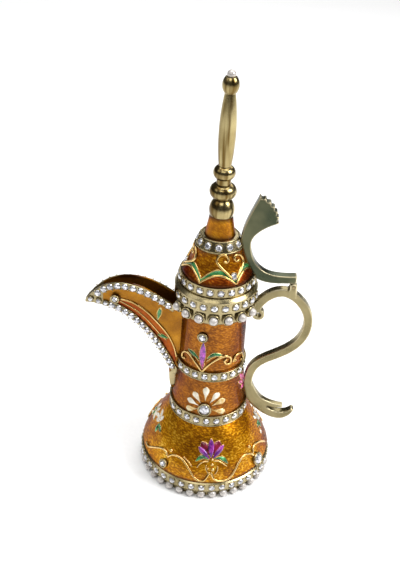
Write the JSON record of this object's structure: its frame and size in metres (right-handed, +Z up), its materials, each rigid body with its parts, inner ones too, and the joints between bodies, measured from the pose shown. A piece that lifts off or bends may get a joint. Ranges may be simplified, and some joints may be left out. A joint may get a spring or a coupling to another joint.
{
  "type": "dallah coffee pot",
  "caption": "Enamelled, jewelled dallah coffee pot with a beak spout, a scroll handle and a tall-spired lid that a thumb lever swings up on a hinge.",
  "frame": {"origin": "centre of the foot's resting face, on the pot's axis", "axes": "+Z up along the pot's axis, +X towards the handle and hinge, -X towards the spout"},
  "size_m": [0.0972, 0.0614, 0.1861],
  "materials": {
    "amber_enamel": "translucent amber enamel over engraved metal",
    "cast_gold": "pale antique gold plating, worn bright at the edges",
    "polished_gold": "polished gold plating",
    "inner_gold": "plain plated metal, unpolished",
    "crystal": "cut clear crystal",
    "pearl": "pearl lustre"
  },
  "bodies": {
    "pot": {"foot_band": "cast_gold", "foot_crystals": "crystal", "foot_pearls": "pearl", "base_plate": "inner_gold", "belly_shell": "amber_enamel", "waist_band": "cast_gold", "waist_crystals": "crystal", "neck_shell": "amber_enamel", "mid_band": "cast_gold", "mid_crystals": "crystal", "collar": "cast_gold", "collar_crystals": "crystal", "collar_pearl_cups": "cast_gold", "collar_pearls": "pearl", "spout": "amber_enamel", "spout_rim_crystals": "crystal", "spout_keel_crystals": "crystal", "stone_bezels": "cast_gold", "large_stones": "crystal", "handle": "cast_gold", "hinge_pin": "inner_gold"},
    "lid": {"lid_rim_band": "cast_gold", "lid_rim_crystals": "crystal", "lid_plug": "inner_gold", "lid_dome": "amber_enamel", "lid_upper_band": "cast_gold", "lid_upper_crystals": "crystal", "lid_taper": "amber_enamel", "finial_stud": "inner_gold", "finial": "polished_gold", "tip_pearl": "pearl", "thumb_lever": "cast_gold"}
  },
  "joints": [
    {"name": "lid_hinge", "type": "hinge", "parent": "pot", "child": "lid", "pos_m": [0.032, 0, 0.0974], "axis": [0, 1, 0], "range_deg": [0, 90]}
  ]
}
